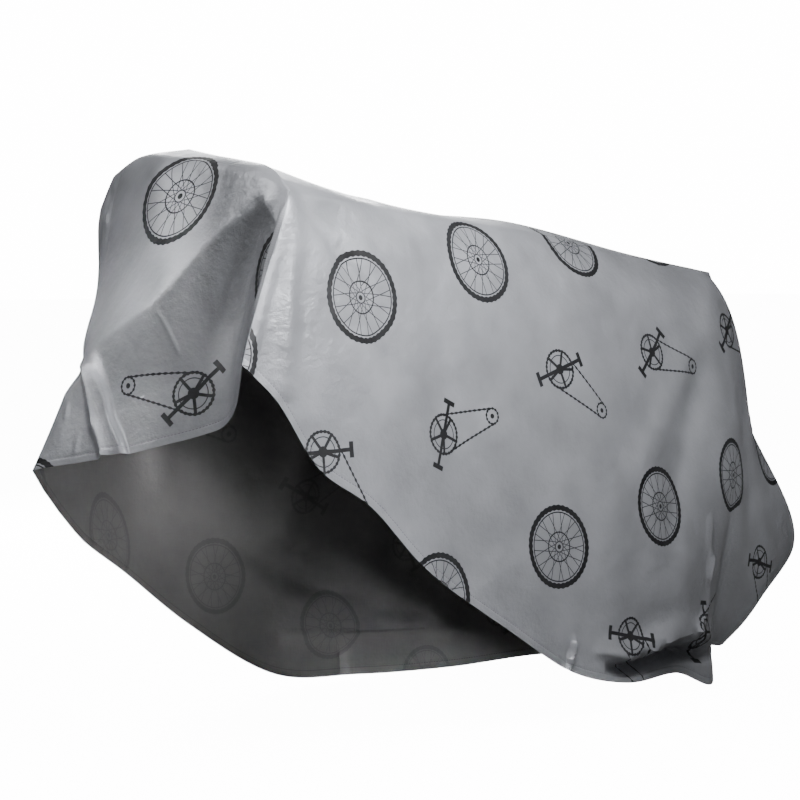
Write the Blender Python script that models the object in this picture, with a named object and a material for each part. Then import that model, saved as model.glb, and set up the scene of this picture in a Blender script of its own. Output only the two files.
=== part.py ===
"""Bicycle cover: one sheet of film, draped as a tent over handlebars and saddle and open below.

The sheet is a grid. A column runs from the ridge over a shoulder and down to the hem, and the columns
go once round the cover: down the near side, round the tail, along the far side and across the front.
"""

import bpy
import numpy as np

# Driving sizes, in metres. X runs from the front to the tail, Y from the near side to the far side.
FILM = 0.002  # thickness of the sheet
BASE_CENTRE = (0.1416, -0.0062, 0.0120)  # middle of the footprint on the ground, in the ribs' own frame
FIN_HEIGHT = 0.009  # the welded front edge stands out from the sheet by this much
NEAR_COLUMNS = 42  # columns along the near side, and as many along the far side
FRONT_COLUMNS = 24
ROWS = (4, 7, 10, 5)  # rows from ridge to shoulder, to waist, to sill and to hem
LEVEL_CREASE = (0, 0.35, 0, 0, 0)  # how sharply the sheet bends at ridge, shoulder, waist, sill and hem
FOLD_STEPS = 9  # places along a fold's line that its distances are measured to
FOLD_REACH = 0.12  # a fold moves only columns this near its own, so the wall opposite stays
FOLD_TAPER = 0.6  # a fold fades towards its ends as this power of a half sine
SOFT_FADE = 2.0  # a soft fold falls off sideways as exp(-SOFT_FADE x^2)
TENT_POWER = 1.3  # and a sharp one as (1 - x)^TENT_POWER
LAP_SQUEEZE = 0.2  # the steep side of a lap is this share of the fold's half width
MID_FOLD = 0.5  # a fold that reaches the hem keeps its full depth from here on
SHORTEST_CHORD = 1e-6  # keeps a chord between two equal points from dividing by zero
FIN_STEP = 0.004  # half the base of the welded edge on the near side, as `at`
FIN_STEP_FRONT = 0.012  # and on the front, where the columns stand closer in metres

# The ridge, from the middle of the handlebars back to the saddle.
RIDGE = (
    # x, y, z
    (-0.505, 0.06, 1.157),
    (-0.40, 0.02, 1.132),
    (-0.27, 0.00, 1.092),
    (-0.18, 0.00, 1.064),
    (0.27, 0.00, 1.020),
    (0.60, 0.00, 0.954),
    (0.838, 0.00, 0.915),
)

# One row for each rib. `at` goes 0 to 1 down the near side, 1 to 2 up the far side and 2 to 3 across the
# front. `crease` is 0 where the sheet runs smoothly across the rib and 1 where it turns sharply there.
RIBS = (
    # name, at, crease, shoulder x y z, waist x y z, sill x y z, hem x y z
    ("front seam", 0.000, 1.0,
     (-0.527, -0.330, 1.064), (-0.592, -0.348, 0.905), (-0.642, -0.365, 0.785), (-0.654, -0.370, 0.750)),
    ("wheel arch", 0.060, 0.0,
     (-0.450, -0.312, 1.056), (-0.525, -0.352, 0.860), (-0.578, -0.374, 0.725), (-0.592, -0.380, 0.690)),
    ("down tube", 0.140, 0.0,
     (-0.360, -0.292, 1.046), (-0.425, -0.358, 0.790), (-0.482, -0.384, 0.600), (-0.502, -0.390, 0.558)),
    ("frame front", 0.220, 0.0,
     (-0.260, -0.266, 1.034), (-0.310, -0.350, 0.750), (-0.370, -0.384, 0.535), (-0.392, -0.390, 0.486)),
    ("crank front", 0.320, 0.0,
     (-0.120, -0.230, 1.022), (-0.165, -0.335, 0.690), (-0.228, -0.374, 0.420), (-0.254, -0.380, 0.357)),
    ("crank", 0.440, 0.0,
     (0.050, -0.188, 1.008), (0.010, -0.318, 0.610), (-0.022, -0.356, 0.285), (-0.032, -0.360, 0.214)),
    ("crank back", 0.560, 0.0,
     (0.210, -0.150, 0.994), (0.185, -0.300, 0.560), (0.140, -0.350, 0.195), (0.142, -0.345, 0.112)),
    ("near hem low", 0.680, 0.0,
     (0.370, -0.112, 0.972), (0.360, -0.276, 0.530), (0.318, -0.330, 0.118), (0.306, -0.330, 0.071)),
    ("brim", 0.790, 0.0,
     (0.530, -0.076, 0.950), (0.530, -0.240, 0.510), (0.500, -0.275, 0.118), (0.500, -0.262, 0.062)),
    ("flap", 0.880, 0.0,
     (0.680, -0.044, 0.932), (0.715, -0.190, 0.490), (0.660, -0.205, 0.108), (0.650, -0.220, 0.028)),
    ("under the nub", 0.912, 0.0,
     (0.722, -0.034, 0.928), (0.778, -0.156, 0.495), (0.700, -0.152, 0.100), (0.692, -0.152, 0.080)),
    ("tail gather", 0.940, 0.0,
     (0.765, -0.024, 0.923), (0.850, -0.108, 0.500), (0.835, -0.104, 0.106), (0.781, -0.112, 0.076)),
    ("tail near", 0.975, 0.0,
     (0.812, -0.012, 0.915), (0.935, -0.048, 0.530), (0.955, -0.062, 0.165), (0.865, -0.045, 0.105)),
    ("tail", 1.000, 0.7,
     (0.845, 0.000, 0.902), (0.943, 0.000, 0.612), (1.120, 0.005, 0.250), (0.925, 0.005, 0.118)),
    ("tail far", 1.025, 0.0,
     (0.812, 0.014, 0.915), (0.875, 0.062, 0.560), (0.940, 0.065, 0.140), (0.880, 0.060, 0.070)),
    ("rack far", 1.080, 0.0,
     (0.740, 0.034, 0.925), (0.800, 0.160, 0.500), (0.800, 0.210, 0.110), (0.780, 0.205, 0.020)),
    ("far back", 1.200, 0.0,
     (0.570, 0.078, 0.945), (0.620, 0.225, 0.500), (0.600, 0.282, 0.110), (0.590, 0.285, 0.020)),
    ("far crank", 1.380, 0.0,
     (0.330, 0.130, 0.975), (0.350, 0.282, 0.500), (0.340, 0.318, 0.110), (0.330, 0.310, 0.012)),
    ("far crank front", 1.560, 0.0,
     (0.080, 0.190, 1.004), (0.100, 0.310, 0.520), (0.080, 0.325, 0.120), (0.070, 0.310, 0.022)),
    ("far hem low", 1.720, 0.0,
     (-0.140, 0.240, 1.030), (-0.140, 0.325, 0.560), (-0.150, 0.330, 0.140), (-0.150, 0.310, 0.046)),
    ("far frame", 1.840, 0.0,
     (-0.310, 0.286, 1.055), (-0.340, 0.340, 0.640), (-0.360, 0.325, 0.270), (-0.370, 0.300, 0.176)),
    ("far fork", 1.930, 0.0,
     (-0.440, 0.330, 1.082), (-0.500, 0.350, 0.720), (-0.540, 0.290, 0.400), (-0.550, 0.250, 0.305)),
    ("far grip", 1.980, 0.3,
     (-0.530, 0.380, 1.020), (-0.560, 0.310, 0.840), (-0.670, 0.205, 0.500), (-0.688, 0.180, 0.391)),
    ("front corner", 2.000, 0.7,
     (-0.535, 0.310, 1.112), (-0.663, 0.169, 0.840), (-0.797, 0.089, 0.619), (-0.845, 0.074, 0.540)),
    ("front far", 2.250, 0.0,
     (-0.548, 0.170, 1.146), (-0.672, 0.028, 0.835), (-0.754, -0.009, 0.630), (-0.791, -0.020, 0.560)),
    ("front middle", 2.500, 0.0,
     (-0.550, 0.020, 1.137), (-0.650, -0.097, 0.840), (-0.713, -0.113, 0.648), (-0.738, -0.125, 0.582)),
    ("front near", 2.750, 0.0,
     (-0.545, -0.140, 1.108), (-0.607, -0.191, 0.860), (-0.649, -0.224, 0.698), (-0.665, -0.234, 0.622)),
    ("front edge", 2.920, 0.0,
     (-0.535, -0.270, 1.082), (-0.596, -0.300, 0.880), (-0.635, -0.325, 0.734), (-0.644, -0.328, 0.671)),
)

# The main folds, each a line on the sheet from one place by way of another to a third. `depth` is how far
# the sheet stands out (or in, below 0) along the line, and `half` is how far from it the fold dies away. A
# `sharp` of 0 is a soft roll and 1 an edged crease with straight flanks. `lap` is 1 where the sheet laps
# over itself and drops steeply on the line's left, looking along it from outside, and -1 where on the right.
FOLDS = (
    # name, from at, level, by at, level, to at, level, half, depth, sharp, lap
    ("front diagonal", 2.995, 1.10, 2.600, 1.82, 2.025, 2.45, 0.150, 0.034, 1.0, 0),
    ("front valley", 2.935, 1.32, 2.810, 1.95, 2.712, 4.00, 0.050, -0.010, 0.0, 0),
    ("front pleat", 2.020, 2.44, 2.215, 2.88, 2.370, 4.00, 0.050, 0.018, 1.0, -1),
    ("front pleat fold", 2.120, 2.50, 2.325, 2.94, 2.460, 4.00, 0.028, 0.010, 1.0, 1),
    ("behind the bar", 0.050, 0.50, 0.135, 0.60, 0.220, 0.70, 0.070, -0.014, 0.0, 0),
    ("near crease", 0.020, 1.15, 0.110, 1.42, 0.195, 1.66, 0.016, -0.007, 0.6, 0),
    ("near crease top", 0.010, 1.05, 0.120, 1.15, 0.230, 1.25, 0.035, -0.008, 0.0, 0),
    ("tail upright", 0.840, 2.25, 0.847, 2.53, 0.853, 2.80, 0.018, 0.012, 1.0, 1),
    ("tail slant", 0.853, 2.80, 0.822, 2.92, 0.786, 2.98, 0.018, 0.010, 0.9, 1),
    ("near hem crease", 0.559, 3.10, 0.555, 3.55, 0.547, 4.00, 0.016, 0.010, 0.9, -1),
    ("brim", 0.600, 3.20, 0.730, 2.92, 0.870, 3.00, 0.050, 0.024, 1.0, -1),
    ("brim undercut", 0.625, 3.55, 0.745, 3.25, 0.885, 3.28, 0.024, -0.050, 0.5, 0),
    ("corner nick", 1.940, 2.35, 2.005, 2.48, 2.070, 2.62, 0.045, -0.014, 0.0, 0),
    ("far slack upper", 1.780, 2.62, 1.600, 2.78, 1.400, 2.98, 0.035, 0.018, 0.5, 0),
    ("far slack lower", 1.700, 3.00, 1.520, 3.01, 1.340, 3.02, 0.035, -0.020, 0.0, 0),
    ("far tuck", 1.590, 3.30, 1.588, 3.65, 1.586, 4.00, 0.014, 0.012, 0.6, 0),
    ("far drape front", 1.900, 1.30, 1.885, 2.00, 1.870, 2.70, 0.060, -0.018, 0.0, 0),
    ("far drape middle", 1.620, 1.20, 1.660, 1.90, 1.700, 2.60, 0.070, -0.022, 0.0, 0),
    ("far drape rise", 1.480, 1.30, 1.490, 2.05, 1.500, 2.80, 0.050, 0.012, 0.0, 0),
    ("far drape back", 1.320, 1.20, 1.285, 2.10, 1.250, 3.00, 0.070, -0.022, 0.0, 0),
    ("far tail crease", 1.060, 1.10, 1.100, 1.85, 1.140, 2.60, 0.040, 0.012, 0.3, 0),
    ("near sag", 0.300, 1.30, 0.350, 2.25, 0.400, 3.20, 0.120, -0.010, 0.0, 0),
    ("near swell", 0.560, 1.40, 0.620, 2.10, 0.680, 2.80, 0.120, 0.008, 0.0, 0),
)

FILM_COLOUR = (0.33, 0.34, 0.36, 1.0)  # silver-grey film, linear
FILM_ROUGHNESS = 0.42
FILM_METALLIC = 0.25


def curve(points, places, values, crease=None, closed=False):
    """A smooth curve through points, read at values of the numbers that say where each point lies.

    Each span is a cubic Hermite piece, h00 P0 + h10 w T0 + h01 P1 + h11 w T1, with w the length of its
    chord. A tangent T is the mean of the two chords' directions, each weighted by the other's length, and
    `crease` turns it towards the span's own chord, so that 1 makes a sharp corner there.
    """
    chords = np.diff(points, axis=0)
    lengths = np.linalg.norm(chords, axis=-1, keepdims=True)
    if chords.ndim > 2:
        lengths = lengths.mean(axis=-2, keepdims=True) if closed else lengths
    lengths = np.maximum(lengths, SHORTEST_CHORD)
    chords = chords / lengths
    first, last = (chords[-1:], chords[:1]) if closed else (chords[:1], chords[-1:])
    before, after = np.concatenate([first, chords]), np.concatenate([chords, last])
    first, last = (lengths[-1:], lengths[:1]) if closed else (lengths[:1], lengths[-1:])
    length_before, length_after = np.concatenate([first, lengths]), np.concatenate([lengths, last])
    smooth = (before * length_after + after * length_before) / (length_before + length_after)
    shape = (-1,) + (1,) * (points.ndim - 1)
    sharp = np.zeros(len(points)) if crease is None else np.asarray(crease, float)
    leaving = smooth + (after - smooth) * sharp.reshape(shape)
    arriving = smooth + (before - smooth) * sharp.reshape(shape)
    span = np.clip(np.searchsorted(places, values, side="right") - 1, 0, len(places) - 2)
    t = ((values - places[span]) / (places[span + 1] - places[span])).reshape(shape)
    w = lengths[span]
    return (
        (2 * t**3 - 3 * t**2 + 1) * points[span]
        + (t**3 - 2 * t**2 + t) * w * leaving[span]
        + (3 * t**2 - 2 * t**3) * points[span + 1]
        + (t**3 - t**2) * w * arriving[span + 1]
    )


def column_places():
    """Where the columns stand, as `at`: the two sides mirror each other, so their ridge points meet."""
    side = np.linspace(0, 1, NEAR_COLUMNS + 1)
    side = np.insert(side, 1, FIN_STEP)
    front = np.linspace(2, 3, FRONT_COLUMNS + 1)[1:-1]
    front = np.append(front, 3 - FIN_STEP_FRONT)
    return np.concatenate([side, 2 - side[-2::-1], front])


def ridge_index(columns):
    """The ridge point each column starts from: the two sides share them, and the front has the first."""
    side = int(np.argmin(abs(columns - 1)))
    index = np.arange(len(columns))
    return np.where(index <= side, index, np.maximum(2 * side - index, 0))


def row_places(rows):
    """Levels of the rows, from 0 at the ridge to 4 at the hem."""
    parts = [np.linspace(level, level + 1, count, endpoint=False) for level, count in enumerate(rows)]
    return np.append(np.concatenate(parts), len(rows))


def outer_surface(columns, rows):
    """Points of the outer face, as an array of columns by rows by xyz."""
    at = np.array([rib[1] for rib in RIBS] + [3.0])
    crease = np.array([rib[2] for rib in RIBS] + [RIBS[0][2]])
    levels = np.array([rib[3:] for rib in RIBS] + [RIBS[0][3:]])
    below = curve(levels, at, columns, crease, closed=True)
    share = np.where(columns <= 1, columns, np.maximum(2 - columns, 0))
    ridge = np.array(RIDGE)
    run = np.append(0, np.cumsum(np.linalg.norm(np.diff(ridge, axis=0), axis=1)))
    top = curve(ridge, run / run[-1], share)
    knots = np.concatenate([top[:, None], below], axis=1)
    level = np.arange(len(LEVEL_CREASE), dtype=float)
    return curve(knots.transpose(1, 0, 2), level, rows, LEVEL_CREASE).transpose(1, 0, 2)


def folded(surface, columns, rows, facing):
    """The surface moved along its normals by each fold.

    A fold's line is the parabola, in `at` and level, through its three places. With d the distance from a
    point to it and x = d / half, a soft profile is a bell curve in x and a sharp one (1 - x)^TENT_POWER, and
    on the steep side of a lap x is counted faster. Both taper to nothing at the ends, but not at the hem.
    """
    share = np.linspace(0, 1, FOLD_STEPS)[:, None]
    first, by, last = (1 - share) * (1 - 2 * share), 4 * share * (1 - share), share * (2 * share - 1)
    moved = surface.copy()
    for _, *places, half, depth, sharp, lap in FOLDS:
        start, middle, end = np.array(places).reshape(3, 2)
        way = first * start + by * middle + last * end
        line = surface_at(surface, columns, rows, way[:, 0], way[:, 1])
        reach = (columns > way[:, 0].min() - FOLD_REACH) & (columns < way[:, 0].max() + FOLD_REACH)
        steps = np.diff(line, axis=0)
        to_point = surface[reach][:, :, None] - line[:-1]
        along = np.clip((to_point * steps).sum(-1) / (steps**2).sum(-1), 0, 1)
        off = to_point - along[..., None] * steps
        nearest = np.linalg.norm(off, axis=-1).argmin(-1)
        off = np.take_along_axis(off, nearest[..., None, None], -2)[..., 0, :]
        x = np.linalg.norm(off, axis=-1) / half
        left = (np.cross(steps[nearest], off) * facing[reach]).sum(-1) * lap > 0
        x = np.where(left, x / LAP_SQUEEZE, x)
        where = (nearest + np.take_along_axis(along, nearest[..., None], -1)[..., 0]) / len(steps)
        taper = np.sin(np.pi * np.clip(where, 0, 1)) ** FOLD_TAPER
        if end[1] >= rows[-1]:
            taper = np.where(where > MID_FOLD, 1, taper)
        tent = np.maximum(1 - x, 0) ** TENT_POWER
        profile = (1 - sharp) * np.exp(-SOFT_FADE * x**2) + sharp * tent
        moved[reach] += facing[reach] * (depth * profile * taper)[..., None]
    return moved


def surface_at(surface, columns, rows, at, level):
    """Points of the grid at places between its columns and rows, by straight shares of the four around."""
    c = np.clip(np.searchsorted(columns, at, side="right") - 1, 0, len(columns) - 2)
    r = np.clip(np.searchsorted(rows, level, side="right") - 1, 0, len(rows) - 2)
    s = ((at - columns[c]) / (columns[c + 1] - columns[c]))[:, None]
    t = ((level - rows[r]) / (rows[r + 1] - rows[r]))[:, None]
    upper = surface[c, r] * (1 - s) + surface[c + 1, r] * s
    lower = surface[c, r + 1] * (1 - s) + surface[c + 1, r + 1] * s
    return upper * (1 - t) + lower * t


def normals(surface):
    """Unit normals of the closed grid: the cross product of the steps round the cover and down it."""
    around = np.roll(surface, -1, axis=0) - np.roll(surface, 1, axis=0)
    down = np.gradient(surface, axis=1)
    across = np.cross(down, around)
    across[:, 0] = (0, 0, 1)
    return across / np.linalg.norm(across, axis=2, keepdims=True)


def sheet_points():
    """Where the columns stand, and the points of the outer and the inner face of the sheet."""
    columns = column_places()
    rows = row_places(ROWS)
    outer = outer_surface(columns, rows)
    outer = folded(outer, columns, rows, normals(outer)) - np.array(BASE_CENTRE)
    facing = normals(outer)
    inner = outer - facing * FILM
    outer[0, 1:] += facing[0, 1:] * FIN_HEIGHT
    return columns, outer, inner


def vertex_grid(columns, rows):
    """Vertex numbers of one face, as columns by rows: first the ridge points, which both sides share."""
    start = ridge_index(columns)
    below = np.arange(len(columns) * (rows - 1)).reshape(len(columns), rows - 1) + start.max() + 1
    return np.concatenate([start[:, None], below], axis=1)


def triangles(grid, points):
    """Two triangles for each quad between neighbouring columns, split along the shorter diagonal.

    At the ridge's front end two corners of a quad are one, and the triangle that has lost a side is dropped.
    """
    after = np.roll(grid, -1, axis=0)
    a, b, c, d = grid[:, :-1], grid[:, 1:], after[:, 1:], after[:, :-1]
    down_length = np.linalg.norm(points[a] - points[c], axis=-1)
    split = (down_length < np.linalg.norm(points[b] - points[d], axis=-1))[..., None]
    first = np.where(split, np.stack([a, b, c], axis=-1), np.stack([a, b, d], axis=-1))
    second = np.where(split, np.stack([a, c, d], axis=-1), np.stack([b, c, d], axis=-1))
    both = np.concatenate([first, second]).reshape(-1, 3)
    return both[(both != np.roll(both, 1, axis=1)).all(axis=1)]


def sheet_mesh():
    """Points and faces of the closed sheet: the outer face, the inner one behind it, and the hem between."""
    columns, outer, inner = sheet_points()
    grid = vertex_grid(columns, outer.shape[1])
    count = grid.max() + 1
    points = np.zeros((2 * count, 3))
    points[grid] = outer
    points[grid + count] = inner
    outside = triangles(grid, points)
    inside = outside[:, ::-1] + count
    edge = grid[:, -1]
    following = np.roll(edge, -1)
    hem = np.stack([edge, edge + count, following + count, following], axis=-1)
    return points, outside.tolist() + inside.tolist() + hem.tolist()


def film_material():
    material = bpy.data.materials.new("silver PEVA film")
    material.use_nodes = True
    shader = material.node_tree.nodes["Principled BSDF"]
    shader.inputs["Base Color"].default_value = FILM_COLOUR
    shader.inputs["Roughness"].default_value = FILM_ROUGHNESS
    shader.inputs["Metallic"].default_value = FILM_METALLIC
    return material


def build_sheet():
    """The draped sheet as one object."""
    points, faces = sheet_mesh()
    data = bpy.data.meshes.new("cover_sheet")
    data.from_pydata(points.tolist(), [], faces)
    data.shade_smooth()
    data.materials.append(film_material())
    sheet = bpy.data.objects.new("cover_sheet", data)
    bpy.context.scene.collection.objects.link(sheet)


def main():
    for thing in list(bpy.data.objects):
        bpy.data.objects.remove(thing, do_unlink=True)
    build_sheet()


if __name__ == "__main__":
    main()
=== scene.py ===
"""Bicycle cover: a printed silver film draped over a bicycle that has been taken away, on a pale floor.

The film is one surface worked out on a grid. A column runs from the ridge over a shoulder and down to the
hem, and the columns go once round the cover: down the near side, round the tail, along the far side and
across the front. Lengths are in metres. X runs from the front to the tail and Y from the near side away.
"""

import math

import bpy
import numpy as np
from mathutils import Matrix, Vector


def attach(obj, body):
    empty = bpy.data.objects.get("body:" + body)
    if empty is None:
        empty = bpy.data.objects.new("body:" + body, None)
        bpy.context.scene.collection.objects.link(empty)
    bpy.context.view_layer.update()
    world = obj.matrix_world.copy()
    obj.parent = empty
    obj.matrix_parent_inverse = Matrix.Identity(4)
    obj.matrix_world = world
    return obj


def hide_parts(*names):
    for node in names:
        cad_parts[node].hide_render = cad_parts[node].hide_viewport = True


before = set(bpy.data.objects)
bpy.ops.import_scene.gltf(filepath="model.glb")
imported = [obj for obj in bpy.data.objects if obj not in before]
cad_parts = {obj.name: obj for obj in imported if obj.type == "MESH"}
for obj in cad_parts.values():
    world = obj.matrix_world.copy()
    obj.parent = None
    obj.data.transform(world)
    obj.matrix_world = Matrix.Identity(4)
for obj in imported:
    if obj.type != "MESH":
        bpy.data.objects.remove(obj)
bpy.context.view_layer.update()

bl_info = {
    "name": "Bicycle cover",
    "version": (1, 0, 0),
    "blender": (4, 5, 0),
    "location": "View3D > Sidebar > Cover",
    "description": "Makes a printed film cover as it drapes over a bicycle",
    "category": "Add Mesh",
}

BODY = "root"
SHEET_NODE = "cover_sheet"

# ---- the drape, in the ribs' own frame ----

BASE_CENTRE = (0.1416, -0.0062, 0.0120)  # middle of the footprint on the ground
LEVEL_CREASE = (0, 0.35, 0, 0, 0)  # how sharply the film bends at ridge, shoulder, waist, sill and hem
FOLD_STEPS = 9  # places along a fold's line that its distances are measured to
FOLD_REACH = 0.12  # a fold moves only columns this near its own, so the wall opposite stays
FOLD_TAPER = 0.6  # a fold fades towards its ends as this power of a half sine
SOFT_FADE = 2.0  # a soft fold falls off sideways as exp(-SOFT_FADE x^2)
TENT_POWER = 1.3  # and a sharp one as (1 - x)^TENT_POWER
LAP_SQUEEZE = 0.35  # the steep side of a lap is this share of the fold's half width
MID_FOLD = 0.5  # a fold that reaches the hem keeps its full depth from here on
SHORTEST_CHORD = 1e-6  # keeps a chord between two equal points from dividing by zero

# The ridge, from the middle of the handlebars back to the saddle.
RIDGE = (
    # x, y, z
    (-0.505, 0.06, 1.157),
    (-0.40, 0.02, 1.132),
    (-0.27, 0.00, 1.092),
    (-0.18, 0.00, 1.064),
    (0.27, 0.00, 1.020),
    (0.60, 0.00, 0.954),
    (0.838, 0.00, 0.915),
)

# One row for each rib. `at` goes 0 to 1 down the near side, 1 to 2 up the far side and 2 to 3 across the
# front. `crease` is 0 where the film runs smoothly across the rib and 1 where it turns sharply there.
RIBS = (
    # name, at, crease, shoulder x y z, waist x y z, sill x y z, hem x y z
    ("front seam", 0.000, 1.0,
     (-0.527, -0.330, 1.064), (-0.592, -0.348, 0.905), (-0.642, -0.365, 0.785), (-0.654, -0.370, 0.750)),
    ("wheel arch", 0.060, 0.0,
     (-0.450, -0.312, 1.056), (-0.525, -0.352, 0.860), (-0.578, -0.374, 0.725), (-0.592, -0.380, 0.690)),
    ("down tube", 0.140, 0.0,
     (-0.360, -0.292, 1.046), (-0.425, -0.358, 0.790), (-0.482, -0.384, 0.600), (-0.502, -0.390, 0.558)),
    ("frame front", 0.220, 0.0,
     (-0.260, -0.266, 1.034), (-0.310, -0.350, 0.750), (-0.370, -0.384, 0.535), (-0.392, -0.390, 0.486)),
    ("crank front", 0.320, 0.0,
     (-0.120, -0.230, 1.022), (-0.165, -0.335, 0.690), (-0.228, -0.374, 0.420), (-0.254, -0.380, 0.357)),
    ("crank", 0.440, 0.0,
     (0.050, -0.188, 1.008), (0.010, -0.318, 0.610), (-0.022, -0.356, 0.285), (-0.032, -0.360, 0.214)),
    ("crank back", 0.560, 0.0,
     (0.210, -0.150, 0.994), (0.185, -0.300, 0.560), (0.140, -0.350, 0.195), (0.142, -0.345, 0.112)),
    ("near hem low", 0.680, 0.0,
     (0.370, -0.112, 0.972), (0.360, -0.276, 0.530), (0.318, -0.330, 0.118), (0.306, -0.330, 0.071)),
    ("brim", 0.790, 0.0,
     (0.530, -0.076, 0.950), (0.530, -0.240, 0.510), (0.500, -0.275, 0.118), (0.500, -0.262, 0.062)),
    ("flap", 0.880, 0.0,
     (0.680, -0.044, 0.932), (0.715, -0.190, 0.490), (0.660, -0.205, 0.108), (0.650, -0.220, 0.028)),
    ("under the nub", 0.912, 0.0,
     (0.722, -0.034, 0.928), (0.778, -0.156, 0.495), (0.700, -0.152, 0.100), (0.692, -0.152, 0.080)),
    ("tail gather", 0.940, 0.0,
     (0.765, -0.024, 0.923), (0.850, -0.108, 0.500), (0.835, -0.104, 0.106), (0.781, -0.112, 0.076)),
    ("tail near", 0.975, 0.0,
     (0.812, -0.012, 0.915), (0.935, -0.048, 0.530), (0.955, -0.062, 0.165), (0.865, -0.045, 0.105)),
    ("tail", 1.000, 0.7,
     (0.845, 0.000, 0.902), (0.943, 0.000, 0.612), (1.120, 0.005, 0.250), (0.925, 0.005, 0.118)),
    ("tail far", 1.025, 0.0,
     (0.812, 0.014, 0.915), (0.875, 0.062, 0.560), (0.940, 0.065, 0.140), (0.880, 0.060, 0.070)),
    ("rack far", 1.080, 0.0,
     (0.740, 0.034, 0.925), (0.800, 0.160, 0.500), (0.800, 0.210, 0.110), (0.780, 0.205, 0.020)),
    ("far back", 1.200, 0.0,
     (0.570, 0.078, 0.945), (0.620, 0.225, 0.500), (0.600, 0.282, 0.110), (0.590, 0.285, 0.020)),
    ("far crank", 1.380, 0.0,
     (0.330, 0.130, 0.975), (0.350, 0.282, 0.500), (0.340, 0.318, 0.110), (0.330, 0.310, 0.012)),
    ("far crank front", 1.560, 0.0,
     (0.080, 0.190, 1.004), (0.100, 0.310, 0.520), (0.080, 0.325, 0.120), (0.070, 0.310, 0.022)),
    ("far hem low", 1.720, 0.0,
     (-0.140, 0.240, 1.030), (-0.140, 0.325, 0.560), (-0.150, 0.330, 0.140), (-0.150, 0.310, 0.046)),
    ("far frame", 1.840, 0.0,
     (-0.310, 0.286, 1.055), (-0.340, 0.340, 0.640), (-0.360, 0.325, 0.270), (-0.370, 0.300, 0.176)),
    ("far fork", 1.930, 0.0,
     (-0.440, 0.330, 1.082), (-0.500, 0.350, 0.720), (-0.540, 0.290, 0.400), (-0.550, 0.250, 0.305)),
    ("far grip", 1.980, 0.3,
     (-0.530, 0.380, 1.020), (-0.560, 0.310, 0.840), (-0.670, 0.205, 0.500), (-0.688, 0.180, 0.391)),
    ("front corner", 2.000, 0.7,
     (-0.535, 0.310, 1.112), (-0.663, 0.169, 0.840), (-0.797, 0.089, 0.619), (-0.845, 0.074, 0.540)),
    ("front far", 2.250, 0.0,
     (-0.548, 0.170, 1.146), (-0.672, 0.028, 0.835), (-0.754, -0.009, 0.630), (-0.791, -0.020, 0.560)),
    ("front middle", 2.500, 0.0,
     (-0.550, 0.020, 1.137), (-0.650, -0.097, 0.840), (-0.713, -0.113, 0.648), (-0.738, -0.125, 0.582)),
    ("front near", 2.750, 0.0,
     (-0.545, -0.140, 1.108), (-0.607, -0.191, 0.860), (-0.649, -0.224, 0.698), (-0.665, -0.234, 0.622)),
    ("front edge", 2.920, 0.0,
     (-0.535, -0.270, 1.082), (-0.596, -0.300, 0.880), (-0.635, -0.325, 0.734), (-0.644, -0.328, 0.671)),
)

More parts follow.
